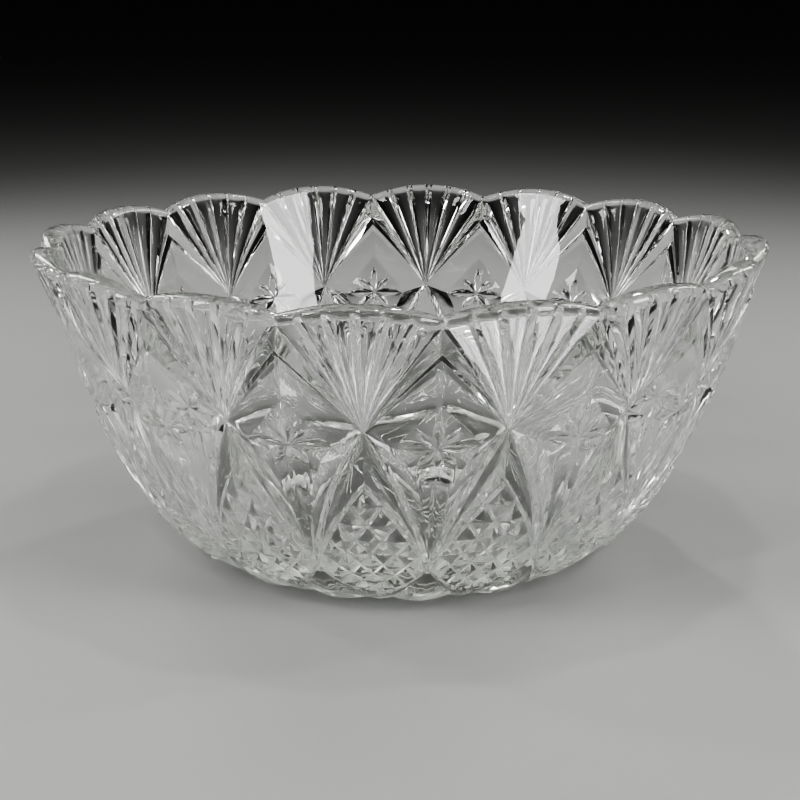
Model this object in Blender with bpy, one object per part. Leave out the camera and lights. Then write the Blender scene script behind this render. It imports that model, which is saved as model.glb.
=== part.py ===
"""Pressed clear-glass punch bowl.

The bowl is one moulding.  Its outside repeats round the axis: every lobe of the rim holds a fan of cuts that
starts at a hub, with a star panel between two hubs, pointed arches filled with diamonds, and a scalloped foot.
Half of one repeat is laid out as a net of facets, mirrored to a whole repeat, and turned round the axis.
"""

import math

import bmesh
import bpy
from mathutils import Vector

# Overall sizes, in metres
HEIGHT = 0.132            # from the table to the top of a rim lobe
RIM_RADIUS = 0.1525       # axis to the outermost point of a lobe
FOOT_RADIUS = 0.0845      # axis to the edge of the base

# The glass
WALL = 0.0095             # thickness under the proud facets
FLOOR = 0.010             # thickness of the floor at the axis
FLOOR_FLAT = 0.040        # radius of the level middle of the floor
FLOOR_BLEND = 0.022       # height at which the curved floor has become the wall

# The rim
LOBES = 16
LOBE_BULGE = 0.0035       # how far a lobe stands out past the valleys beside it
LOBE_RISE = 0.005         # how far a lobe stands above them
RIM_ROUND = 0.0018        # drop from the crown to the edges of the rounded rim
CROWN_SHARE = 0.42        # place of the crown between the outer and the inner edge

# The fan of cuts in each lobe
HALF_FAN_PANES = 3
CUT_SHARE = 0.35          # width of a cut at the rim, as a share of one cut and one pane
CUT_DEPTH = 0.0018
CUT_NOTCH = 0.0008        # extra drop of the rim where a cut runs out
HUB_DEPTH = 0.0055

# Relief of the facets below the fans, inward from the outer profile
CHEVRON_DEPTH = 0.0010
PANEL_CORNER_DEPTH = 0.0015
PANEL_EDGE_DEPTH = 0.0006
ARCH_GROOVE_WIDTH = 0.0028
ARCH_GROOVE_DEPTH = 0.0012
INNER_BAND_WIDTH = 0.0020
FIELD_DEPTH = 0.0013       # at the bottoms of the cuts; the diamonds' points reach the outer profile
PETAL_TIP_DEPTH = 0.0025

# Levels of the pattern, as shares of the height, so that the pattern fits any bowl
HUB_LEVEL = 0.629
CHEVRON_TOP_LEVEL = 0.871
CHEVRON_FOOT_LEVEL = 0.823
PANEL_TOP_LEVEL = 0.723
PANEL_CORNER_LEVEL = 0.595
INNER_ARCH_LEVEL = 0.485
SPRING_LEVEL = 0.165      # where neighbouring arches meet
FIELD_FOOT_LEVEL = 0.068

# Curves of the pattern, as Bezier control points.  The first value of each is its place across a half repeat
# (0 is the middle of a lobe, 1 is a valley of the rim) and the second its level.
PANEL_CORNER_ACROSS = 0.40
PANEL_EDGE_BENDS = ((0.74, 0.515), (0.90, 0.38))
OUTER_ARCH_BEND = (0.62, 0.436)
INNER_ARCH_BEND = (0.61, 0.322)
FIELD_FOOT_BEND = (0.50, FIELD_FOOT_LEVEL)
PETAL_BEND = (0.50, 0.03)

# Edge of the base: places across a half repeat, and depths inward of the foot's radius
BASE_EDGE = ((1.0, 0.0), (0.66, 0.0012), (0.30, 0.0042))

# Bend of the outer profile: inner control points of a cubic curve from the foot to the rim,
# as shares of the step out and of the step up
PROFILE_BEND = ((0.17, 0.07), (0.57, 0.16))

# The field of pointed diamonds under the inner arch
DIAMONDS = 5              # along each side of the field
DIAMOND_CROWDING = 1.8    # above 1, the rows lie closer towards the foot

# Fineness
RAY_STEPS = 3
ARCH_STEPS = DIAMONDS
INNER_STEPS_ACROSS = 3
BLEND_STEPS = 3
WALL_ROWS = 6
PROFILE_SAMPLES = 200

HALF_REPEAT = math.pi / LOBES
WELD = 0.00001


def clear_scene():
    """Remove every object, so that the model starts from nothing."""
    for thing in list(bpy.data.objects):
        bpy.data.objects.remove(thing, do_unlink=True)


def mix(start, end, share):
    """Return the value a share of the way from start to end."""
    return start + (end - start) * share


def bezier(points, share):
    """Return the point at a share of the way along a Bezier curve with any number of control points."""
    while len(points) > 1:
        points = [tuple(mix(a, b, share) for a, b in zip(p, q)) for p, q in zip(points, points[1:])]
    return points[0]


def radius_on(polyline, height):
    """Return the radius at a height on a rising list of (radius, height) points."""
    for (r0, z0), (r1, z1) in zip(polyline, polyline[1:]):
        if height <= z1:
            return mix(r0, r1, max(0.0, (height - z0) / (z1 - z0)))
    return polyline[-1][0]


def outer_profile():
    """Return the (radius, height) points of the envelope of the outside, from the foot up."""
    out, up = RIM_RADIUS - FOOT_RADIUS, HEIGHT
    bends = [(FOOT_RADIUS + a * out, b * up) for a, b in PROFILE_BEND]
    control = [(FOOT_RADIUS, 0.0), *bends, (RIM_RADIUS, HEIGHT)]
    return [bezier(control, i / PROFILE_SAMPLES) for i in range(PROFILE_SAMPLES + 1)]


OUTER = outer_profile()


def inner_profile():
    """Return the (radius, height) points of the inside: a level floor, a blend and the offset wall."""
    wall = []
    for (r0, z0), (r1, z1) in zip(OUTER, OUTER[1:]):
        length = math.hypot(r1 - r0, z1 - z0)
        wall.append((r0 - WALL * (z1 - z0) / length, z0 + WALL * (r1 - r0) / length))
    (r0, z0), (r1, z1) = wall[-2:]
    reach = (HEIGHT - z1) / (z1 - z0)
    wall.append((r1 + (r1 - r0) * reach, HEIGHT))
    join = next(i for i, (_, z) in enumerate(wall) if z > FLOOR + FLOOR_BLEND)
    (r0, z0), (r1, z1) = wall[join], wall[join + 1]
    knee = (r0 - (z0 - FLOOR) * (r1 - r0) / (z1 - z0), FLOOR)
    blend = [bezier([(FLOOR_FLAT, FLOOR), knee, (r0, z0)], i / BLEND_STEPS) for i in range(BLEND_STEPS)]
    return blend, wall[join:]


FLOOR_POINTS, INNER_WALL = inner_profile()


def valley_share(across):
    """Return how much of the valley's drop the rim has at a place across the lobe."""
    return across ** 2


def rim_height(across):
    """Return the height of the rim's crown at a place across the lobe."""
    return HEIGHT - LOBE_RISE * valley_share(across)


def at(radius, across, height):
    """Return the point at a radius, a place across the half repeat and a height."""
    angle = across * HALF_REPEAT
    return Vector((radius * math.sin(angle), -radius * math.cos(angle), height))


def on_outside(across, height, depth):
    """Return the point on the outside at a depth under the envelope."""
    return at(radius_on(OUTER, height) - depth, across, height)


class HalfRepeat:
    """Half of one repeat of the bowl, from the middle of a lobe to the valley beside it."""

    def __init__(self):
        self.mesh = bmesh.new()
        self.hub = self.vertex(on_outside(0.0, HUB_LEVEL * HEIGHT, HUB_DEPTH))
        self.spring = self.vertex(on_outside(1.0, SPRING_LEVEL * HEIGHT, PANEL_EDGE_DEPTH))

    def vertex(self, point):
        """Add one vertex."""
        return self.mesh.verts.new(point)

    def face(self, *corners):
        """Add one facet, leaving out a corner that repeats the one before it."""
        kept = [c for i, c in enumerate(corners) if c is not corners[i - 1]]
        if len(kept) > 2:
            self.mesh.faces.new(kept)

    def strip(self, left, right):
        """Join two rows of as many vertices each with a strip of facets."""
        for i in range(len(left) - 1):
            self.face(left[i], left[i + 1], right[i + 1], right[i])

    def stitch(self, long_row, short_row):
        """Join two rows that have unlike counts with triangles, each step taking the row that lags."""
        i = j = 0
        last_i, last_j = len(long_row) - 1, len(short_row) - 1
        while i < last_i or j < last_j:
            if j == last_j or (i < last_i and (i + 1) * last_j <= (j + 1) * last_i):
                self.face(long_row[i], long_row[i + 1], short_row[j])
                i += 1
            else:
                self.face(long_row[i], short_row[j + 1], short_row[j])
                j += 1

    def line(self, path, steps, first=None, last=None):
        """Add vertices along path(share), which gives (across, height, depth), between two known ends."""
        row = [first] if first else [self.vertex(on_outside(*path(0.0)))]
        row += [self.vertex(on_outside(*path(i / steps))) for i in range(1, steps)]
        row.append(last if last else self.vertex(on_outside(*path(1.0))))
        return row

    def ray(self, across, height, depth, steps=RAY_STEPS):
        """Add a row from the hub that runs straight across the outside to a place."""
        start = (0.0, HUB_LEVEL * HEIGHT, HUB_DEPTH)
        end = (across, height, depth)
        return self.line(lambda s: tuple(mix(a, b, s) for a, b in zip(start, end)), steps, first=self.hub)

    def fan(self):
        """Add the cuts and panes that open from the hub to the rim."""
        half_cut = 0.5 * CUT_SHARE / HALF_FAN_PANES
        rays = []
        for cut in range(HALF_FAN_PANES + 1):
            middle = cut / HALF_FAN_PANES
            for shift in (-half_cut, 0.0, half_cut):
                across = middle + shift
                if -WELD < across < 1.0 + WELD:
                    drop = CUT_NOTCH if shift == 0.0 else 0.0
                    sunk = CUT_DEPTH if shift == 0.0 else 0.0
                    edge = rim_height(across) - RIM_ROUND - drop
                    rays.append(self.ray(across, edge, LOBE_BULGE * valley_share(across) + sunk))
        for left, right in zip(rays, rays[1:]):
            self.strip(left, right)
        return rays

    def chevrons(self, valley_ray):
        """Add the kite, the chevron and the bevel between a fan and the star panel."""
        top = self.ray(1.0, CHEVRON_TOP_LEVEL * HEIGHT, 0.0)
        foot = self.ray(1.0, CHEVRON_FOOT_LEVEL * HEIGHT, CHEVRON_DEPTH)
        corner = (PANEL_CORNER_ACROSS, PANEL_CORNER_LEVEL * HEIGHT, PANEL_CORNER_DEPTH)
        apex = (1.0, PANEL_TOP_LEVEL * HEIGHT, 0.0)
        edge = self.line(lambda s: tuple(mix(a, b, s) for a, b in zip(corner, apex)), RAY_STEPS)
        self.strip(valley_ray, top)
        self.strip(top, foot)
        self.strip(foot, edge)
        return edge

    def star_panel(self, upper_edge):
        """Add the shield-shaped panel between two hubs, down to the spring of the arches."""
        bends = [(PANEL_CORNER_ACROSS, PANEL_CORNER_LEVEL), *PANEL_EDGE_BENDS, (1.0, SPRING_LEVEL)]

        def edge_path(share):
            across, level = bezier(bends, share)
            return across, level * HEIGHT, mix(PANEL_CORNER_DEPTH, PANEL_EDGE_DEPTH, share)

        def middle_path(share):
            return 1.0, mix(PANEL_TOP_LEVEL, SPRING_LEVEL, share) * HEIGHT, 0.0

        lower_edge = self.line(edge_path, ARCH_STEPS, first=upper_edge[0], last=self.spring)
        middle = self.line(middle_path, ARCH_STEPS, first=upper_edge[-1], last=self.spring)
        self.face(*upper_edge, middle[1], lower_edge[1])
        self.strip(lower_edge[1:], middle[1:])
        return lower_edge

    def arches(self, panel_edge):
        """Add the grooved outer arch, the two lancets and the inner arch; return the field's edge."""
        half_width = 0.5 * ARCH_GROOVE_WIDTH

        def outer_arch(side, extra):
            def path(share):
                across, level = bezier([(0.0, HUB_LEVEL), OUTER_ARCH_BEND, (1.0, SPRING_LEVEL)], share)
                swell = 4.0 * share * (1.0 - share)
                shift = side * half_width * swell / (RIM_RADIUS * HALF_REPEAT)
                depth = mix(PANEL_EDGE_DEPTH, HUB_DEPTH, (1.0 - share) ** 2)
                return across + shift, level * HEIGHT, depth + extra * swell
            return self.line(path, ARCH_STEPS, first=self.hub, last=self.spring)

        def inner_arch(drop, depth):
            def path(share):
                across, level = bezier([(0.0, INNER_ARCH_LEVEL), INNER_ARCH_BEND, (1.0, SPRING_LEVEL)], share)
                return across, level * HEIGHT - drop * (1.0 - share), mix(depth, PANEL_EDGE_DEPTH, share)
            return self.line(path, ARCH_STEPS, last=self.spring)

        outer_edge = outer_arch(1.0, 0.0)
        bottom = outer_arch(0.0, ARCH_GROOVE_DEPTH)
        inner_edge = outer_arch(-1.0, 0.0)
        band_top = inner_arch(0.0, 0.0)
        band_foot = inner_arch(INNER_BAND_WIDTH, FIELD_DEPTH)
        for left, right in zip((panel_edge, outer_edge, bottom, inner_edge, band_top),
                               (outer_edge, bottom, inner_edge, band_top, band_foot)):
            self.strip(left, right)
        return band_foot

    def field(self, arch):
        """Add the diamonds inside the inner arch and return the field's lower edge, from the spring inward.

        The cuts run in two families, and a and b count cells along them, so a + b is a row of the field.
        """
        def foot_path(share):
            across, level = bezier([(1.0, SPRING_LEVEL), FIELD_FOOT_BEND, (0.0, FIELD_FOOT_LEVEL)], share)
            return across, level * HEIGHT, PANEL_EDGE_DEPTH

        foot = self.line(foot_path, DIAMONDS, first=self.spring)
        ends = arch + foot[1:]

        def place(row, offset, depth):
            end = ends[row].co
            aside = offset / min(row, 2 * DIAMONDS - row)
            left = (1.0 - row / (2 * DIAMONDS)) ** DIAMOND_CROWDING
            middle = mix(foot[-1].co.z, arch[0].co.z, left)
            across = math.atan2(end.x, -end.y) / HALF_REPEAT * aside
            return on_outside(across, mix(middle, end.z, aside ** 2), depth)

        cuts = {(0, b): vertex for b, vertex in enumerate(arch)}
        cuts.update({(a, DIAMONDS): vertex for a, vertex in enumerate(foot)})
        for a in range(1, DIAMONDS):
            for b in range(a, DIAMONDS):
                cuts[a, b] = self.vertex(place(a + b, b - a, FIELD_DEPTH))
        for a in range(DIAMONDS):
            for b in range(a, DIAMONDS):
                point = self.vertex(place(a + b + 1, b - a, 0.0))
                corners = [cuts[a, b], cuts[a, b + 1], cuts[a + 1, b + 1]]
                if a < b:
                    corners += [cuts[a + 1, b], cuts[a, b]]
                for first, second in zip(corners, corners[1:]):
                    self.face(first, second, point)
        return foot

    def foot(self, field_foot):
        """Add the petal under the field and the block under the spring; return the base's edge."""
        def petal_path(share):
            across, level = bezier([(1.0, SPRING_LEVEL), PETAL_BEND, (0.0, 0.0)], share)
            return across, level * HEIGHT, mix(PANEL_EDGE_DEPTH, PETAL_TIP_DEPTH, share)

        petal = self.line(petal_path, DIAMONDS, first=self.spring)
        edge = [self.vertex(on_outside(across, 0.0, depth)) for across, depth in BASE_EDGE]
        edge.append(petal[-1])
        self.strip(field_foot, petal)
        self.stitch(petal, edge)
        return edge

    def base(self, edge):
        """Add the flat base out to its edge."""
        centre = self.vertex(Vector((0.0, 0.0, 0.0)))
        for near, far in zip(edge, edge[1:]):
            self.face(centre, near, far)

    def inside(self, rays):
        """Add the rounded rim, the smooth wall and the floor."""
        crown = []
        for count, ray in enumerate(rays):
            outer = ray[-1].co
            across = math.atan2(outer.x, -outer.y) / HALF_REPEAT
            height = rim_height(across)
            radius = mix(outer.xy.length, radius_on(INNER_WALL, height), CROWN_SHARE)
            notch = CUT_NOTCH if count % HALF_FAN_PANES == 0 else 0.0
            crown.append(self.vertex(at(radius, across, height - 0.5 * notch)))
        self.strip([ray[-1] for ray in rays], crown)

        places = [i / INNER_STEPS_ACROSS for i in range(INNER_STEPS_ACROSS + 1)]
        join = INNER_WALL[0][1]
        rows = []
        for step in range(WALL_ROWS):
            row = []
            for across in places:
                height = mix(rim_height(across) - RIM_ROUND, join, step / WALL_ROWS)
                row.append(self.vertex(at(radius_on(INNER_WALL, height), across, height)))
            rows.append(row)
        for radius, height in [INNER_WALL[0], *reversed(FLOOR_POINTS)]:
            rows.append([self.vertex(at(radius, across, height)) for across in places])
        rows.append([self.vertex(Vector((0.0, 0.0, FLOOR)))] * len(places))
        self.stitch(crown, rows[0])
        for upper, lower in zip(rows, rows[1:]):
            self.strip(upper, lower)

    def build(self):
        """Lay out the whole half repeat and return its mesh."""
        rays = self.fan()
        panel_upper_edge = self.chevrons(rays[-1])
        panel_lower_edge = self.star_panel(panel_upper_edge)
        field_edge = self.arches(panel_lower_edge)
        self.base(self.foot(self.field(field_edge)))
        self.inside(rays)
        return self.mesh


def repeat_round(mesh):
    """Mirror a half repeat over the middle of its lobe and turn copies of it round the axis."""
    bmesh.ops.mirror(mesh, geom=mesh.verts[:] + mesh.edges[:] + mesh.faces[:], axis="X", merge_dist=WELD)
    whole = mesh.verts[:] + mesh.edges[:] + mesh.faces[:]
    bmesh.ops.spin(mesh, geom=whole, cent=(0.0, 0.0, 0.0), axis=(0.0, 0.0, 1.0), dvec=(0.0, 0.0, 0.0),
                   angle=2.0 * math.pi * (LOBES - 1) / LOBES, steps=LOBES - 1, use_duplicate=True)
    bmesh.ops.remove_doubles(mesh, verts=mesh.verts[:], dist=WELD)
    bmesh.ops.triangulate(mesh, faces=mesh.faces[:])
    bmesh.ops.recalc_face_normals(mesh, faces=mesh.faces[:])


def clear_glass():
    """Return the material of the glass: colourless with a faint grey-green tint."""
    material = bpy.data.materials.new("clear_glass")
    material.use_nodes = True
    shader = material.node_tree.nodes["Principled BSDF"]
    shader.inputs["Base Color"].default_value = (0.95, 0.97, 0.95, 1.0)
    shader.inputs["Roughness"].default_value = 0.03
    shader.inputs["Metallic"].default_value = 0.0
    shader.inputs["IOR"].default_value = 1.53
    shader.inputs["Transmission Weight"].default_value = 1.0
    return material


def main():
    """Model the bowl."""
    clear_scene()
    shape = HalfRepeat().build()
    repeat_round(shape)
    data = bpy.data.meshes.new("bowl")
    shape.to_mesh(data)
    shape.free()
    data.shade_smooth()
    data.set_sharp_from_angle(angle=math.radians(12.0))
    data.materials.append(clear_glass())
    bowl = bpy.data.objects.new("bowl", data)
    bpy.context.scene.collection.objects.link(bowl)


main()
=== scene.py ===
"""Looks of a pressed clear-glass punch bowl: its fine surface, its glass and a plain studio."""

import logging
import math
from dataclasses import dataclass, field
from enum import Enum

import bmesh
import bpy
import numpy as np
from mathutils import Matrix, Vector


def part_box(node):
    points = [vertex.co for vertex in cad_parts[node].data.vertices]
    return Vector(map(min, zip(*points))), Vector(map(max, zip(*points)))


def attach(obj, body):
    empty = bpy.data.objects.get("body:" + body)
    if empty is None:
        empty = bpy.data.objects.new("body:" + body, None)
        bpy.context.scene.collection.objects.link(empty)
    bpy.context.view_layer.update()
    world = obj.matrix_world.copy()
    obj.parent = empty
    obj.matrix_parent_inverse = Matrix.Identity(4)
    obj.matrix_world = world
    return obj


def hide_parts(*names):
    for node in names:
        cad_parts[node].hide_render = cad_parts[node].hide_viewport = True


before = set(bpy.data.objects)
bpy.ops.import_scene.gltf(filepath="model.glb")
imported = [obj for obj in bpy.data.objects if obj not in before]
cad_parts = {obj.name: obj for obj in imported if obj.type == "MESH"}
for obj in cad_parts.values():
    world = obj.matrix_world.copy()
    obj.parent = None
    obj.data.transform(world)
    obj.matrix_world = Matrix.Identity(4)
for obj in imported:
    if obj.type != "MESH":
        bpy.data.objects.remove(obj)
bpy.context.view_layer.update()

LOG = logging.getLogger("punch_bowl")

# Keeps a division from meeting nought.
TINY = 1e-9

# A net is an array whose last axis is (across, height, depth).  Across is the place over half a repeat: 0 at
# the middle of a rim lobe, 1 at a valley.  Height is in metres above the table.  Depth is in metres inward
# from the envelope of the outside, square to the wall.
Net = np.ndarray


class Facet(Enum):
    """How the middle of a facet lies against its edges."""

    FLAT = 0.0
    HOLLOW = 1.0
    CROWNED = -1.0


def steps(count: int) -> np.ndarray:
    """Return count + 1 even places from 0 to 1."""
    return np.linspace(0.0, 1.0, count + 1)


def bezier(points: list[tuple[float, ...]], share: np.ndarray) -> np.ndarray:
    """Work out points on a Bezier curve.

    Neighbouring control points are mixed over and over (de Casteljau), for all shares at once.

    Args:
        points: The control points.
        share: Places along the curve, from 0 to 1.

    Returns:
        An array of one point for each share.
    """
    level = [np.broadcast_to(np.asarray(p, float), (len(share), len(p))) for p in points]
    while len(level) > 1:
        level = [a + (b - a) * share[:, None] for a, b in zip(level, level[1:])]
    return level[0]


@dataclass(frozen=True)
class Wall:
    """The envelope of the outside and the smooth inside, as profiles turned round the axis.

    The bends are the inner control points of the envelope's curve, as shares of its step out and of its
    height.
    """

    height: float
    rim_radius: float = 0.1525
    foot_radius: float = 0.0845
    bends: tuple[tuple[float, float], ...] = ((0.17, 0.07), (0.57, 0.16))
    thickness: float = 0.0095
    floor: float = 0.010
    floor_flat: float = 0.040
    blend_top: float = 0.032
    floor_rows: int = 20
    blend_rows: int = 60
    lobes: int = 16

    @property
    def half_repeat(self) -> float:
        """Angle of half a repeat, in radians."""
        return math.pi / self.lobes

    def outer_curve(self, count: int = 2000) -> np.ndarray:
        """Work out the envelope, a cubic Bezier curve from the foot to the rim.

        Args:
            count: Number of steps along the curve.

        Returns:
            (radius, height) points.
        """
        out = self.rim_radius - self.foot_radius
        bends = [(self.foot_radius + a * out, b * self.height) for a, b in self.bends]
        return bezier([(self.foot_radius, 0.0), *bends, (self.rim_radius, self.height)], steps(count))

    def inner_curve(self) -> np.ndarray:
        """Work out the inside.

        The wall is the envelope moved inward by the thickness, square to itself.  A quadratic Bezier curve
        blends it into the level floor.

        Returns:
            (radius, height) points, from the axis to the rim.
        """
        outer = self.outer_curve()
        slope = np.diff(outer, axis=0)
        slope /= np.linalg.norm(slope, axis=1)[:, None]
        wall = outer[:-1] + self.thickness * np.stack([-slope[:, 1], slope[:, 0]], axis=1)
        wall = wall[wall[:, 1] > self.blend_top]
        last = wall[-1] - wall[-2]
        wall = np.vstack([wall, wall[-1] + last * (self.height - wall[-1, 1]) / last[1]])
        first = wall[1] - wall[0]
        knee = (wall[0, 0] - (wall[0, 1] - self.floor) * first[0] / first[1], self.floor)
        blend = bezier([(self.floor_flat, self.floor), knee, tuple(wall[0])], steps(self.blend_rows))[:-1]
        radii = steps(self.floor_rows)[:-1] * self.floor_flat
        level = np.stack([radii, np.full_like(radii, self.floor)], axis=1)
        return np.vstack([level, blend, wall])

    def turn(self, radius: np.ndarray, across: np.ndarray, height: np.ndarray) -> np.ndarray:
        """Turn places round the axis; angle nought lies on -Y.

        Args:
            radius: Distances from the axis.
            across: Places across the half repeat.
            height: Heights above the table.

        Returns:
            Points, with the last axis (x, y, z).
        """
        angle = across * self.half_repeat
        parts = np.broadcast_arrays(radius * np.sin(angle), -radius * np.cos(angle), height)
        return np.stack(parts, axis=-1)

    def place(self, net: Net) -> np.ndarray:
        """Turn net places into points.

        The radius is the envelope's radius at the height, less the depth times the root of 1 + slope squared,
        which is the level distance that a depth square to the wall takes.

        Args:
            net: Net places.

        Returns:
            Points in metres, with the last axis (x, y, z).
        """
        curve = self.outer_curve()
        rise = np.gradient(curve[:, 0], curve[:, 1])
        across, height, depth = net[..., 0], net[..., 1], net[..., 2]
        radius = np.interp(height, curve[:, 1], curve[:, 0])
        slope = np.interp(height, curve[:, 1], rise)
        return self.turn(radius - depth * np.sqrt(1.0 + slope ** 2), across, height)


@dataclass
class Shell:
    """A closed surface gathered from patches of half a repeat."""

    wall: Wall
    edge_round: float = 0.00035
    widest_lip: float = 0.28
    grains_per_metre: float = 1e6
    points: list[np.ndarray] = field(default_factory=list)
    triangles: list[np.ndarray] = field(default_factory=list)
    count: int = 0

    def add(self, grid: np.ndarray) -> None:
        """Add a grid of points as two triangles for each of its cells.

        Args:
            grid: Points, rows by columns by (x, y, z).
        """
        rows, columns = grid.shape[:2]
        index = np.arange(rows * columns).reshape(rows, columns) + self.count
        a, b, c, d = index[:-1, :-1], index[1:, :-1], index[1:, 1:], index[:-1, 1:]
        self.triangles.append(np.stack([a, b, c], axis=-1).reshape(-1, 3))
        self.triangles.append(np.stack([a, c, d], axis=-1).reshape(-1, 3))
        self.points.append(grid.reshape(-1, 3))
        self.count += rows * columns

    def add_net(self, net: Net) -> None:
        """Add a grid of net places."""
        self.add(self.wall.place(net))

    def stitch(self, fine: np.ndarray, coarse: np.ndarray) -> None:
        """Join a row of many points to a row of few.

        Each step of the fine row takes the coarse point nearest its middle.  Each step of the coarse row
        takes the fine point at which that nearest point changes.

        Args:
            fine: The row of many points.
            coarse: The row of few points.
        """
        middle = 0.5 * (fine[1:] + fine[:-1])
        nearest = np.linalg.norm(middle[:, None] - coarse[None], axis=-1).argmin(axis=1)
        first = self.count + np.arange(len(middle))
        far = self.count + len(fine)
        change = np.searchsorted(nearest, np.arange(1, len(coarse)))
        near = np.arange(len(coarse) - 1)
        self.triangles.append(np.stack([first, first + 1, far + nearest], axis=-1))
        self.triangles.append(np.stack([self.count + change, far + near + 1, far + near], axis=-1))
        self.points += [fine, coarse]
        self.count += len(fine) + len(coarse)

    def web(self, left: Net, right: Net, columns: int = 1, form: Facet = Facet.FLAT, sag: float = 0.0) -> Net:
        """Span a facet between two edges and add it.

        Each place is the straight mix of the two edges at the same step.  The first and last strips are as
        wide as the rounding of an edge, and never over the widest share.  The depth gains sag * 4s(1 - s)
        over the facet, times 1 - (2t - 1)^4 along it, so that the facet's borders stay where they are.

        Args:
            left: One edge, a row of net places.
            right: The other edge, with as many places.
            columns: Number of strips between the two rounded ones.
            form: Which way the facet curves.
            sag: How far its middle lies off the straight mix, in metres.

        Returns:
            The grid of net places, steps along the edges by steps across.
        """
        width = np.linalg.norm(self.wall.place(left) - self.wall.place(right), axis=-1)
        lip = np.minimum(self.edge_round / np.maximum(width, TINY), self.widest_lip)[:, None]
        across = np.hstack([0.0 * lip, lip + (1.0 - 2.0 * lip) * steps(columns), 1.0 + 0.0 * lip])[..., None]
        grid = left[:, None, :] * (1.0 - across) + right[:, None, :] * across
        along = np.linspace(-1.0, 1.0, len(left))[:, None]
        grid[..., 2] += form.value * sag * (4.0 * across * (1.0 - across))[..., 0] * (1.0 - along ** 4)
        self.add_net(grid)
        return grid

    def repeated(self) -> tuple[np.ndarray, np.ndarray]:
        """Mirror the half repeat, turn copies round the axis and weld what meets in one grain.

        Returns:
            The points and the triangles of the whole surface.
        """
        points = np.vstack(self.points)
        triangles = np.vstack(self.triangles)
        pair = np.vstack([points, points * (-1.0, 1.0, 1.0)])
        both = np.vstack([triangles, triangles[:, ::-1] + len(points)])
        angle = np.arange(self.wall.lobes) * 2.0 * self.wall.half_repeat
        cos, sin = np.cos(angle)[:, None], np.sin(angle)[:, None]
        parts = [pair[:, 0] * cos - pair[:, 1] * sin, pair[:, 0] * sin + pair[:, 1] * cos, pair[:, 2]]
        turned = np.stack(np.broadcast_arrays(*parts), axis=-1).reshape(-1, 3)
        shift = np.arange(self.wall.lobes)[:, None, None] * len(pair)
        grains = np.round(turned * self.grains_per_metre).astype(np.int64)
        first, back = np.unique(grains, axis=0, return_index=True, return_inverse=True)[1:]
        faces = back.reshape(-1)[(both[None] + shift).reshape(-1, 3)]
        a, b, c = faces.T
        return turned[first], faces[(a != b) & (b != c) & (c != a)]


@dataclass(frozen=True)
class Layout:
    """Places that several parts of the pattern share."""

    wall: Wall
    hub_level: float = 0.629
    hub_depth: float = 0.0052
    hub_rise: float = 0.8
    spring_level: float = 0.165
    spring_depth: float = 0.0005
    cells: int = 5
    edge_share: float = 0.07

    @property
    def ray(self) -> np.ndarray:
        """Shares along a line from the hub to the valley or rim, with a short last step for a round end."""
        return np.append(np.linspace(0.0, 0.978, 12), 1.0)

    @property
    def arch(self) -> np.ndarray:
        """Shares along an arch, top to spring: four steps to each diamond, short beside its cuts."""
        cell = np.array([0.0, self.edge_share, 0.5, 1.0 - self.edge_share])
        return np.append((np.arange(self.cells)[:, None] + cell).ravel(), self.cells) / self.cells

    def row(self, across: np.ndarray, level: np.ndarray, depth: np.ndarray) -> Net:
        """Make a row of net places.

        Args:
            across: Places across the half repeat.
            level: Levels, as shares of the height.
            depth: Depths in metres.

        Returns:
            The row.
        """
        return np.stack(np.broadcast_arrays(across, level * self.wall.height, depth), axis=-1).astype(float)

    def from_hub(self, across: float, level: np.ndarray | float, depth: float) -> Net:
        """Draw a straight line from the hub: even across and up, and quicker out of the hub's depth.

        Args:
            across: Where it ends across the half repeat.
            level: The level where it ends.
            depth: The depth where it ends.

        Returns:
            The line as a row, whose depth goes with the share to the power of the hub's rise.
        """
        depths = self.hub_depth + (depth - self.hub_depth) * self.ray ** self.hub_rise
        return self.row(across * self.ray, self.hub_level + (level - self.hub_level) * self.ray, depths)


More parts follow.
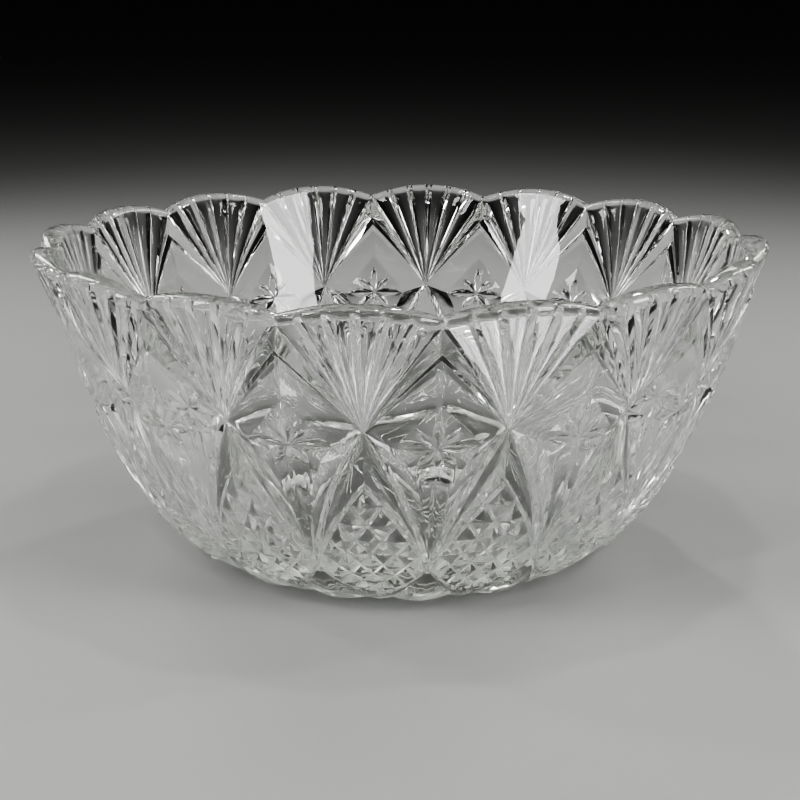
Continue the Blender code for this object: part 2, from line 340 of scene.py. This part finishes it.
@dataclass(frozen=True)
class Fan:
    """Half a fan of flat panes parted by mitre cuts, from its hub to the rim."""

    layout: Layout
    panes: int = 3
    cut_share: float = 0.36
    cut_depth: float = 0.0027
    crown: float = 0.0002
    lobe_bulge: float = 0.0035
    lobe_rise: float = 0.005
    flare: float = 0.0010
    shoulder: float = 0.0036
    fade_from: float = 0.88
    fade_to: float = 0.45

    def rim_level(self, across: np.ndarray | float) -> np.ndarray | float:
        """Return the rim's crown as a share of the height: it falls with across squared."""
        return 1.0 - self.lobe_rise * across ** 2 / self.layout.wall.height

    def line(self, across: float, sunk: float) -> Net:
        """Draw a line from the hub to the rim; a cut deepens with the share and fades near the shoulder.

        Args:
            across: Where it meets the rim.
            sunk: 1 for the bottom of a cut and 0 for its edge.

        Returns:
            The line as a row.
        """
        level = self.rim_level(across) - self.shoulder / self.layout.wall.height
        line = self.layout.from_hub(across, level, self.lobe_bulge * across ** 2 - self.flare)
        fade = np.interp(self.layout.ray, (self.fade_from, 1.0), (1.0, self.fade_to))
        line[:, 2] += sunk * self.cut_depth * self.layout.ray * fade
        return line

    def uncut(self, edge: Net) -> Net:
        """Return the rim's outer edge as it would be without the cuts."""
        return np.column_stack([edge[:, :2], self.lobe_bulge * edge[:, 0] ** 2 - self.flare])

    def build(self, shell: Shell) -> tuple[Net, Net]:
        """Add the panes and the cuts.

        Args:
            shell: The surface to add to.

        Returns:
            The row along the rim's outer edge, and the line down the valley's cut.
        """
        half_cut = 0.5 * self.cut_share / self.panes
        middles = np.arange(self.panes + 1) / self.panes
        places = [(m + s, float(s == 0.0)) for m in middles for s in (-half_cut, 0.0, half_cut)][1:-1]
        lines = [self.line(across, sunk) for across, sunk in places]
        edge: list[Net] = [lines[0][-1:]]
        for number, (left, right) in enumerate(zip(lines, lines[1:])):
            if number % 3 == 1:
                grid = shell.web(left, right, 4, Facet.CROWNED, self.crown)
            else:
                grid = shell.web(left, right)
            edge.append(grid[-1, 1:])
        return np.vstack(edge), lines[-1]


@dataclass(frozen=True)
class RimAndInside:
    """The rounded rim, the smooth inside wall and the floor."""

    layout: Layout
    inner_round: float = 0.0020
    outward_power: float = 0.85
    upward_power: float = 0.75
    second_row: float = 0.985
    rim_rows: int = 7
    wall_rows: int = 17
    columns: int = 9

    def build(self, shell: Shell, edge: Net, uncut: Net, crown: np.ndarray) -> None:
        """Add the rim and the inside.

        Over the rim the radius follows the cosine and the height the sine of half a turn, each raised to a
        power under 1 for a fuller round.  A cut goes straight on into the round until it runs out.  The
        inside runs at even shares of its profile's length.

        Args:
            shell: The surface to add to.
            edge: The rim's outer edge.
            uncut: The same edge without the cuts.
            crown: Height of the rim's crown at each place of the edge.
        """
        wall = self.layout.wall
        curve = wall.inner_curve()
        outer = wall.place(uncut)
        outer_radius = np.hypot(outer[:, 0], outer[:, 1])
        cut_radius = np.hypot(*np.moveaxis(wall.place(edge)[:, :2], 1, 0))
        inner_height = crown - self.inner_round
        inner_radius = np.interp(inner_height, curve[:, 1], curve[:, 0])
        over = steps(self.rim_rows)[:, None]
        lean = np.sign(0.5 - over) * np.abs(np.cos(over * math.pi)) ** self.outward_power
        low = outer[:, 2] + (inner_height - outer[:, 2]) * over
        height = low + (crown - low) * np.sin(over * math.pi) ** self.upward_power
        radius = 0.5 * (outer_radius + inner_radius) + 0.5 * (outer_radius - inner_radius) * lean
        radius = np.minimum(radius, cut_radius)
        shell.add(wall.turn(radius, edge[:, 0], height))
        across = steps(self.columns)
        tops = np.interp(across, edge[:, 0], inner_height)
        arc = np.append(0.0, np.cumsum(np.linalg.norm(np.diff(curve, axis=0), axis=1)))
        down = np.append(self.second_row, steps(self.wall_rows)[-2::-1])[:, None]
        place = np.interp(tops, curve[:, 1], arc) * down
        inside = wall.turn(np.interp(place, arc, curve[:, 0]), across, np.interp(place, arc, curve[:, 1]))
        shell.stitch(wall.turn(radius[-1], edge[:, 0], height[-1]), inside[0])
        shell.add(inside)


@dataclass(frozen=True)
class Chevrons:
    """The kite, the mitre groove and the bevel between two fans and the star panel."""

    layout: Layout
    top_level: float = 0.871
    foot_level: float = 0.823
    groove: float = 0.0018
    corner: tuple[float, float] = (0.40, 0.595)
    corner_depth: float = 0.0008
    top_depth: float = 0.0002
    foot_depth: float = 0.0014
    sag: float = 0.0002
    panel_top: float = 0.723

    def build(self, shell: Shell, valley: Net) -> Net:
        """Add the facets above the star panel.

        Args:
            shell: The surface to add to.
            valley: The line down the valley's cut of the fan.

        Returns:
            The star panel's upper edge, from its corner to its top.
        """
        ray = self.layout.ray
        top = self.layout.from_hub(1.0, self.top_level, self.top_depth)
        foot = self.layout.from_hub(1.0, self.foot_level, self.foot_depth)
        middle = 0.5 * (top + foot)
        middle[:, 2] += self.groove * ray
        across, level = self.corner
        edge = self.layout.row(across + (1.0 - across) * ray, level + (self.panel_top - level) * ray,
                               self.corner_depth * (1.0 - ray))
        shell.web(valley, top, 2, Facet.HOLLOW, self.sag)
        shell.web(top, middle)
        shell.web(middle, foot)
        shell.web(foot, edge, 3, Facet.HOLLOW, self.sag)
        return edge


@dataclass(frozen=True)
class StarPanel:
    """The panel with its eight-petalled star flower and stem.

    The lean turns lengths up the leaning wall into heights.
    """

    layout: Layout
    bends: tuple[tuple[float, float], ...] = ((0.74, 0.515), (0.90, 0.38))
    middle_level: float = 0.592
    reach_up: float = 0.0128
    reach_side: float = 0.0136
    reach_between: float = 0.0102
    notch: float = 0.0048
    rib_depth: float = 0.0018
    stem_depth: float = 0.0005
    stem_swell: float = 0.0006
    stem_edge: float = -3.2
    stem_span: float = 0.8
    outline_power: float = 0.9
    lean: float = 0.94

    def lower_edge(self, upper: Net) -> Net:
        """Draw the panel's lower edge, a cubic Bezier curve.

        Args:
            upper: The panel's upper edge, which starts at the corner.

        Returns:
            The edge from the corner to the spring of the arches.
        """
        share = self.layout.arch
        corner = (upper[0, 0], upper[0, 1] / self.layout.wall.height)
        curve = bezier([corner, *self.bends, (1.0, self.layout.spring_level)], share)
        depth = upper[0, 2] + (self.layout.spring_depth - upper[0, 2]) * share
        return self.layout.row(curve[:, 0], curve[:, 1], depth)

    def build(self, shell: Shell, upper: Net, lower: Net) -> None:
        """Add the panel.

        Lines run from the flower's middle through its outline to the panel's edge.  The turn counts halves
        of a petal from the sideways one, 4 straight up and -4 straight down.  The outline's radius goes from
        the notch to the reach with a power under 1 of the share of the way from notch to tip.  A petal sinks
        to its rib in step with that share, and comes up again at the outline.  The lowest rib runs on as the
        stem, a shallow groove that fades towards the spring.

        Args:
            shell: The surface to add to.
            upper: The edge from the corner to the panel's top.
            lower: The edge from the corner to the spring.
        """
        wall = self.layout.wall
        turn = np.append(np.linspace(4.0, 0.0, len(upper)), np.linspace(0.0, -4.0, len(lower))[1:])
        tip = 1.0 - np.abs((turn + 1.0) % 2.0 - 1.0)
        side = np.where(turn > 2.0, self.reach_up, self.reach_side)
        reach = np.where(np.abs((turn + 2.0) % 4.0 - 2.0) <= 1.0, side, self.reach_between)
        swell = np.where(turn < -3.0, self.stem_swell, reach - self.notch)
        outline = self.notch + swell * tip ** self.outline_power
        sideways = outline * np.cos(turn * math.pi / 8.0)
        upward = outline * np.sin(turn * math.pi / 8.0)
        stem = np.maximum(self.stem_edge - turn, 0.0) / self.stem_span
        middle = self.middle_level * wall.height
        radius = float(np.hypot(*wall.place(np.array([1.0, middle, 0.0]))[:2]))
        out = np.array([0.0, 0.25, 0.5, 0.75, 0.94, 1.0])[:, None]
        sink = np.array([0.0, 0.55, 0.9, 1.0, 0.85, 0.0])[:, None]
        across = 1.0 - out * sideways / (radius * wall.half_repeat)
        height = middle + out * upward * self.lean
        depth = self.rib_depth * sink * tip + self.stem_depth * out * stem
        petals = np.stack(np.broadcast_arrays(across, height, depth), axis=-1)
        border = np.vstack([upper[::-1], lower[1:]])
        past = np.array([0.0, 0.06, 0.35, 0.65, 0.96, 1.0])[:, None, None]
        ground = petals[-1] * (1.0 - past) + border * past
        shell.add_net(petals)
        shell.add_net(ground)


@dataclass(frozen=True)
class Arches:
    """The lower bevel, the outer arch's groove, the lancets and the inner arch's band."""

    layout: Layout
    outer_bend: tuple[float, float] = (0.62, 0.436)
    inner_level: float = 0.485
    inner_bend: tuple[float, float] = (0.61, 0.322)
    groove_width: float = 0.0028
    groove_depth: float = 0.0016
    groove_radius: float = 0.125
    groove_aside: float = 0.375
    groove_above: float = 0.3
    taper_rate: float = 3.2
    hub_fade: float = 1.3
    band_width: float = 0.0022
    band_depth: float = 0.0009
    band_top: float = 0.0002
    band_foot: float = 0.0004
    bevel_sag: float = 0.0003
    lancet_sag: float = 0.0006

    def build(self, shell: Shell, panel_edge: Net) -> Net:
        """Add the facets between the star panel and the diamonds.

        Both arches are quadratic Bezier curves that end at the spring.  The groove narrows at both ends with
        the root of s(1 - s).  The band narrows with the 0.6th power of what is left of the arch, and comes
        up with its root.

        Args:
            shell: The surface to add to.
            panel_edge: The star panel's lower edge.

        Returns:
            The upper border of the diamonds, from its top to the spring.
        """
        plan, share = self.layout, self.layout.arch
        height, half = plan.wall.height, plan.wall.half_repeat
        spring = (1.0, plan.spring_level)
        arch = bezier([(0.0, plan.hub_level), self.outer_bend, spring], share)
        taper = np.minimum(1.0, self.taper_rate * np.sqrt(share * (1.0 - share)))
        fade = (1.0 - share) ** self.hub_fade
        depth = plan.spring_depth + (plan.hub_depth - plan.spring_depth) * fade
        aside = self.groove_aside * self.groove_width * taper / (self.groove_radius * half)
        above = self.groove_above * self.groove_width * taper / height
        outer = plan.row(arch[:, 0] + aside, arch[:, 1] + above, depth)
        bottom = plan.row(arch[:, 0], arch[:, 1], depth + self.groove_depth * taper)
        inner = plan.row(arch[:, 0] - aside, arch[:, 1] - above, depth)
        left = 1.0 - share
        curve = bezier([(0.0, self.inner_level), self.inner_bend, spring], share)
        drop = self.band_width / height * left ** 0.6
        sunk = plan.spring_depth * share
        top = plan.row(curve[:, 0], curve[:, 1], self.band_top * left + sunk)
        middle = plan.row(curve[:, 0], curve[:, 1] - 0.5 * drop, self.band_depth * left ** 0.5 + sunk)
        foot = plan.row(curve[:, 0], curve[:, 1] - drop, self.band_foot * left + sunk)
        shell.web(panel_edge, outer, 3, Facet.HOLLOW, self.bevel_sag)
        shell.web(outer, bottom)
        shell.web(bottom, inner)
        shell.web(inner, top, 4, Facet.HOLLOW, self.lancet_sag)
        shell.web(top, middle)
        shell.web(middle, foot)
        return foot


@dataclass(frozen=True)
class Diamonds:
    """The field of pointed diamonds under the inner arch."""

    layout: Layout
    foot_level: float = 0.068
    cut_depth: float = 0.0018
    sink: float = 0.0004
    flank_rise: float = 0.0009
    point_rise: float = 0.0011
    strip: float = 0.08
    crowding: float = 1.8
    foot_bend: float = 0.5

    def place(self, a: np.ndarray, b: np.ndarray, ends: Net) -> Net:
        """Return net places at the bottoms of the cuts.

        a and b count cells along the two families of cuts, so a + b is the row down from the field's top.  A
        row's end lies on the border.  Its middle lies at the crowding power of the share of the rows left.
        Between them the place across is in proportion, and the height follows its square.  The depth is that
        of a cut over the middle third of the rows, falls evenly to nothing at both ends, and adds the sink.

        Args:
            a: Cells along one family.
            b: Cells along the other.
            ends: The field's border, from its top by way of the spring to its foot.

        Returns:
            Net places.
        """
        cells = self.layout.cells
        rows = a + b
        share = np.append(self.layout.arch, 1.0 + self.layout.arch[1:]) * cells
        end = np.stack([np.interp(rows, share, ends[:, k]) for k in range(3)], axis=-1)
        reach = np.minimum(rows, 2.0 * cells - rows)
        aside = np.where(reach > TINY, (b - a) / np.maximum(reach, TINY), 1.0)
        left = 1.0 - rows / (2.0 * cells)
        height = ends[-1, 1] + (ends[0, 1] - ends[-1, 1]) * left ** self.crowding
        depth = self.cut_depth * np.minimum(1.0, 3.0 * np.minimum(left, 1.0 - left)) + self.sink
        return np.stack([end[..., 0] * aside, height + (end[..., 1] - height) * aside ** 2,
                         depth + (end[..., 2] - depth) * aside ** 2], axis=-1)

    def build(self, shell: Shell, border: Net) -> Net:
        """Add the diamonds, each a ring of cut flanks round a four-sided point.

        Args:
            shell: The surface to add to.
            border: The field's upper border, from its top to the spring.

        Returns:
            The field's lower border, from the spring to the middle.
        """
        plan = self.layout
        bend, end = (self.foot_bend, self.foot_level), (0.0, self.foot_level)
        curve = bezier([(1.0, plan.spring_level), bend, end], plan.arch)
        foot = plan.row(curve[:, 0], curve[:, 1], plan.spring_depth)
        ends = np.vstack([border, foot[1:]])
        side = np.array([0.0, plan.edge_share, 0.5, 1.0 - plan.edge_share])[:, None]
        corners = np.array([(0.0, 0.0), (1.0, 0.0), (1.0, 1.0), (0.0, 1.0), (0.0, 0.0)])
        ring = np.vstack([p + (q - p) * side for p, q in zip(corners, corners[1:])] + [corners[:1]])
        inset = np.array([0.0, 0.5 * self.strip, 1.7 * self.strip, 2.6 * self.strip, 0.93, 1.0])
        flank = np.minimum(inset / (2.0 * self.strip), 1.0) * self.flank_rise
        lift = flank + np.maximum(inset - 2.0 * self.strip, 0.0) / (1.0 - 2.0 * self.strip) * self.point_rise
        for a in range(plan.cells):
            for b in range(a, plan.cells):
                part = ring[len(ring) // 2:] if a == b else ring
                spots = 0.5 + (part - 0.5) * (1.0 - inset[:, None, None])
                net = self.place(spots[..., 0] + a, spots[..., 1] + b, ends)
                net[..., 2] -= lift[:, None]
                shell.add_net(net)
        return foot


@dataclass(frozen=True)
class Foot:
    """The petals and blocks at the foot, and the flat base with its pressed star."""

    layout: Layout
    petal_bend: tuple[float, float] = (0.50, 0.03)
    edge: tuple[tuple[float, float], ...] = ((0.0, 0.0016), (0.30, 0.0026), (0.66, 0.0008), (1.0, 0.0))
    ring: float = 0.076
    tip: float = 0.066
    half_width: float = 0.006
    slope: float = 0.42
    narrowest: float = 0.03
    ray_rows: int = 10
    petal_crown: float = 0.0006
    block_crown: float = 0.0004

    def build(self, shell: Shell, field_foot: Net) -> None:
        """Add the foot.

        Args:
            shell: The surface to add to.
            field_foot: The lower border of the diamonds, from the spring to the middle.
        """
        plan, share = self.layout, self.layout.arch
        places, depths = zip(*self.edge)
        curve = bezier([(1.0, plan.spring_level), self.petal_bend, (0.0, 0.0)], share)
        sunk = plan.spring_depth + (depths[0] - plan.spring_depth) * share
        petal = plan.row(curve[:, 0], curve[:, 1], sunk)
        edge = plan.row(1.0 - share, 0.0 * share, np.interp(1.0 - share, places, depths))
        shell.web(field_foot, petal, 3, Facet.CROWNED, self.petal_crown)
        shell.web(petal, edge, 3, Facet.CROWNED, self.block_crown)
        self.base(shell, plan.wall.place(edge))

    def base(self, shell: Shell, edge: np.ndarray) -> None:
        """Add the flat base with a star of pressed rays, one under each valley.

        A ray's half width falls evenly from the middle to nothing at its tip, within the room between two
        rays.  Its depth is the half width times the slope.

        Args:
            shell: The surface to add to.
            edge: The base's edge, from the valley to the lobe.
        """
        wall = self.layout.wall
        place = 1.0 - steps(len(edge) - 1)
        radii = np.append(self.ring, np.linspace(self.tip, 0.0, self.ray_rows))
        room = np.clip(self.half_width * (1.0 - radii / self.tip), 0.0, radii * wall.half_repeat)
        flank = np.clip(room / np.maximum(radii * wall.half_repeat, TINY), self.narrowest, 1.0)
        flank[0], flank[-1] = 0.5, 1.0
        outer = place >= 0.5
        near = 1.0 - 2.0 * (1.0 - place) * flank[:, None]
        far = 2.0 * place * (1.0 - flank[:, None])
        across = np.where(outer, near, far)
        height = np.where(outer, (2.0 * place - 1.0) * self.slope * room[:, None], 0.0)
        grid = wall.turn(np.broadcast_to(radii[:, None], across.shape), across, height)
        shell.add(np.concatenate([edge[None], grid]))


@dataclass(frozen=True)
class ClearGlass:
    """Fire-polished clear glass with a faint grey-green tint, light smears and the mould's faint ripple."""

    ior: float = 1.53
    smear_scale: float = 34.0
    smear_from: float = 0.50
    smear_to: float = 0.80
    smear: float = 0.035
    smear_detail: float = 4.0
    ripple_scale: float = 70.0
    ripple: float = 0.25
    ripple_height: float = 0.00008
    tint: tuple[float, float, float] = (0.84, 0.87, 0.81)
    density: float = 5.0
    shadow: tuple[float, float, float] = (0.50, 0.51, 0.50)

    def skin(self, material: bpy.types.Material) -> None:
        """Give the glass its smears and its ripple, both noise on object coordinates.

        The smears raise the roughness from nothing in step with the noise between two of its values.  The
        ripple is a bump.

        Args:
            material: The material, with its glass shader in place.
        """
        nodes, link = material.node_tree.nodes, material.node_tree.links.new
        glass = nodes["Principled BSDF"]
        place = nodes.new("ShaderNodeTexCoord")
        smears = nodes.new("ShaderNodeTexNoise")
        smears.inputs["Scale"].default_value = self.smear_scale
        smears.inputs["Detail"].default_value = self.smear_detail
        link(place.outputs["Object"], smears.inputs["Vector"])
        amount = nodes.new("ShaderNodeMapRange")
        amount.inputs["From Min"].default_value = self.smear_from
        amount.inputs["From Max"].default_value = self.smear_to
        amount.inputs["To Min"].default_value = 0.0
        amount.inputs["To Max"].default_value = self.smear
        link(smears.outputs["Fac"], amount.inputs["Value"])
        link(amount.outputs["Result"], glass.inputs["Roughness"])
        ripples = nodes.new("ShaderNodeTexNoise")
        ripples.inputs["Scale"].default_value = self.ripple_scale
        link(place.outputs["Object"], ripples.inputs["Vector"])
        bump = nodes.new("ShaderNodeBump")
        bump.inputs["Strength"].default_value = self.ripple
        bump.inputs["Distance"].default_value = self.ripple_height
        link(ripples.outputs["Fac"], bump.inputs["Height"])
        link(bump.outputs["Normal"], glass.inputs["Normal"])

    def material(self) -> bpy.types.Material:
        """Build the material, which lets a share of a lamp's light straight through.

        Returns:
            The material.
        """
        material = bpy.data.materials.new("clear_glass")
        material.use_nodes = True
        nodes, link = material.node_tree.nodes, material.node_tree.links.new
        glass = nodes["Principled BSDF"]
        glass.inputs["Base Color"].default_value = (1.0, 1.0, 1.0, 1.0)
        glass.inputs["IOR"].default_value = self.ior
        glass.inputs["Transmission Weight"].default_value = 1.0
        self.skin(material)
        lamp_glass = nodes.new("ShaderNodeBsdfTransparent")
        lamp_glass.inputs["Color"].default_value = (*self.shadow, 1.0)
        path = nodes.new("ShaderNodeLightPath")
        choose = nodes.new("ShaderNodeMixShader")
        link(path.outputs["Is Shadow Ray"], choose.inputs["Fac"])
        link(glass.outputs["BSDF"], choose.inputs[1])
        link(lamp_glass.outputs["BSDF"], choose.inputs[2])
        output = nodes["Material Output"]
        link(choose.outputs["Shader"], output.inputs["Surface"])
        depth = nodes.new("ShaderNodeVolumeAbsorption")
        depth.inputs["Color"].default_value = (*self.tint, 1.0)
        depth.inputs["Density"].default_value = self.density
        link(depth.outputs["Volume"], output.inputs["Volume"])
        return material


@dataclass(frozen=True)
class PunchBowl:
    """The bowl, one moulding of sixteen repeats."""

    wall: Wall
    ripple: float = 0.00010
    ripple_span: tuple[float, float] = (0.012, 0.124)
    inner_share: float = 0.7

    def waves(self, points: np.ndarray) -> np.ndarray:
        """Ripple the inside as a plunger leaves it.

        Three slanting sine waves are added, and move a point of the inside wall in and out.

        Args:
            points: Points of the whole surface.

        Returns:
            The moved points.
        """
        curve = self.wall.outer_curve()
        radius = np.hypot(points[:, 0], points[:, 1])
        inward = np.interp(points[:, 2], curve[:, 1], curve[:, 0]) - radius
        low, high = self.ripple_span
        deep = inward > self.inner_share * self.wall.thickness
        inside = deep & (points[:, 2] > low) & (points[:, 2] < high)
        ways = np.array([(210.0, 90.0, 120.0), (-150.0, 190.0, 90.0), (60.0, -240.0, 160.0)])
        swell = np.sin(points @ ways.T + (0.3, 1.1, 2.4)).sum(axis=1) * self.ripple * inside
        shift = swell / np.maximum(radius, 1e-6)
        return points * np.stack([1.0 + shift, 1.0 + shift, np.ones_like(shift)], axis=1)

    def build(self) -> bpy.types.Object:
        """Lay out half a repeat and close the bowl.

        Returns:
            The bowl's object.
        """
        plan, shell = Layout(self.wall), Shell(self.wall)
        fan = Fan(plan)
        rim_edge, valley = fan.build(shell)
        crown = fan.rim_level(rim_edge[:, 0]) * self.wall.height
        RimAndInside(plan).build(shell, rim_edge, fan.uncut(rim_edge), crown)
        upper = Chevrons(plan).build(shell, valley)
        panel = StarPanel(plan)
        lower = panel.lower_edge(upper)
        panel.build(shell, upper, lower)
        border = Arches(plan).build(shell, lower)
        Foot(plan).build(shell, Diamonds(plan).build(shell, border))
        points, triangles = shell.repeated()
        return closed_piece("glass_bowl", self.waves(points), triangles)

    def dress(self, piece: bpy.types.Object, glass: ClearGlass) -> None:
        """Give the bowl its glass and tie it to the frame.

        Args:
            piece: The bowl.
            glass: Its finish.
        """
        piece.data.materials.append(glass.material())
        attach(piece, "root")
        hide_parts("bowl")


def closed_piece(name: str, points: np.ndarray, triangles: np.ndarray) -> bpy.types.Object:
    """Make a smooth piece whose narrow strips round the edges between broad facets.

    A point's normal is the sum of its triangles' cross products, so that a broad facet keeps its own
    direction up to the strips along its edges.

    Args:
        name: The piece's name.
        points: Points in metres.
        triangles: Three point numbers for each triangle.

    Returns:
        The object, at the origin.
    """
    data = bpy.data.meshes.new(name)
    data.from_pydata(points, [], triangles)
    shape = bmesh.new()
    shape.from_mesh(data)
    bmesh.ops.recalc_face_normals(shape, faces=shape.faces[:])
    loose = sum(len(edge.link_faces) != 2 for edge in shape.edges)
    shape.to_mesh(data)
    shape.free()
    LOG.info("%s: %d triangles, %d open edges", name, len(triangles), loose)
    corners = np.empty(3 * len(data.polygons), dtype=np.int32)
    data.loops.foreach_get("vertex_index", corners)
    a, b, c = (points[corners[k::3]] for k in range(3))
    area = np.repeat(np.cross(b - a, c - a), 3, axis=0)
    normals = np.stack([np.bincount(corners, area[:, k], len(points)) for k in range(3)], axis=1)
    normals /= np.maximum(np.linalg.norm(normals, axis=1), 1e-20)[:, None]
    data.shade_smooth()
    data.normals_split_custom_set_from_vertices(normals)
    piece = bpy.data.objects.new(name, data)
    bpy.context.scene.collection.objects.link(piece)
    return piece


@dataclass(frozen=True)
class Softbox:
    """A lamp with a soft panel."""

    name: str
    place: tuple[float, float, float]
    size: tuple[float, float]
    power: float
    aim_height: float = 0.06

    def build(self) -> None:
        """Hang the softbox, facing the bowl."""
        lamp = bpy.data.lights.new(self.name, "AREA")
        lamp.shape = "RECTANGLE"
        lamp.size, lamp.size_y = self.size
        lamp.energy = self.power
        box = bpy.data.objects.new(self.name, lamp)
        box.location = self.place
        aim = Vector((0.0, 0.0, self.aim_height)) - Vector(self.place)
        box.rotation_euler = aim.to_track_quat("-Z", "Y").to_euler()
        bpy.context.scene.collection.objects.link(box)


@dataclass(frozen=True)
class Studio:
    """A pale floor, soft lights and the camera."""

    floor_size: float = 80.0
    floor_gap: float = 0.0003
    floor_tone: tuple[float, float, float] = (0.35, 0.35, 0.342)
    floor_roughness: float = 0.6
    surround: float = 0.015
    focal: float = 72.3
    sensor: float = 36.0
    distance: float = 0.6957
    elevation: float = 15.39
    azimuth: float = 5.65
    look_height: float = 0.0586
    bounces: int = 24
    glossy_bounces: int = 16
    boxes: tuple[Softbox, ...] = (
        Softbox("left_softbox", (-0.70, -0.50, 0.62), (0.30, 0.5), 5.6),
        Softbox("right_softbox", (0.70, -0.50, 0.62), (0.30, 0.5), 5.6),
        Softbox("back_left_softbox", (-0.60, 0.55, 0.62), (0.22, 0.5), 2.2),
        Softbox("back_right_softbox", (0.60, 0.55, 0.62), (0.22, 0.5), 2.2),
        Softbox("front_glint", (-0.25, -0.75, 0.95), (0.05, 0.05), 1.3),
        Softbox("left_glint", (-0.85, 0.10, 0.80), (0.05, 0.05), 1.3),
        Softbox("right_glint", (0.85, 0.15, 0.80), (0.05, 0.05), 1.3),
        Softbox("back_glint", (0.10, 0.80, 0.85), (0.05, 0.05), 1.3),
        Softbox("top_glint", (0.10, -0.05, 1.10), (0.05, 0.05), 1.3),
    )

    def floor(self) -> None:
        """Lay the floor a hair under the base, so that light crosses an air gap there."""
        s, z = self.floor_size, -self.floor_gap
        data = bpy.data.meshes.new("studio_floor")
        data.from_pydata([(-s, -s, z), (s, -s, z), (s, s, z), (-s, s, z)], [], [(0, 1, 2, 3)])
        material = bpy.data.materials.new("studio_floor")
        material.use_nodes = True
        paint = material.node_tree.nodes["Principled BSDF"]
        paint.inputs["Base Color"].default_value = (*self.floor_tone, 1.0)
        paint.inputs["Roughness"].default_value = self.floor_roughness
        data.materials.append(material)
        plane = bpy.data.objects.new("studio_floor", data)
        bpy.context.scene.collection.objects.link(plane)

    def world(self) -> None:
        """Set a dim even surround."""
        world = bpy.data.worlds.new("studio")
        world.use_nodes = True
        sky = world.node_tree.nodes["Background"]
        sky.inputs["Color"].default_value = (self.surround, self.surround, self.surround, 1.0)
        sky.inputs["Strength"].default_value = 1.0
        bpy.context.scene.world = world

    def camera(self) -> None:
        """Set the camera."""
        data = bpy.data.cameras.new("camera")
        data.lens = self.focal
        data.sensor_width = self.sensor
        rise, turn = math.radians(self.elevation), math.radians(self.azimuth)
        way = Vector((math.sin(turn) * math.cos(rise), -math.cos(turn) * math.cos(rise), math.sin(rise)))
        camera = bpy.data.objects.new("camera", data)
        camera.location = Vector((0.0, 0.0, self.look_height)) + way * self.distance
        camera.rotation_euler = (-way).to_track_quat("-Z", "Y").to_euler()
        bpy.context.scene.collection.objects.link(camera)
        bpy.context.scene.camera = camera

    def build(self) -> None:
        """Build the studio, and let light cross the many faces of the glass."""
        self.floor()
        self.world()
        self.camera()
        for box in self.boxes:
            box.build()
        scene = bpy.context.scene
        scene.view_settings.look = "AgX - High Contrast"
        scene.cycles.caustics_reflective = False
        scene.cycles.caustics_refractive = False
        scene.cycles.max_bounces = self.bounces
        scene.cycles.transmission_bounces = self.bounces
        scene.cycles.glossy_bounces = self.glossy_bounces
        scene.cycles.transparent_max_bounces = self.bounces


def main() -> None:
    """Build the bowl and the studio."""
    logging.basicConfig(level=logging.INFO, format="%(name)s: %(message)s")
    bowl = PunchBowl(Wall(height=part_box("bowl")[1].z))
    bowl.dress(bowl.build(), ClearGlass())
    Studio().build()


if __name__ == "__main__":
    main()
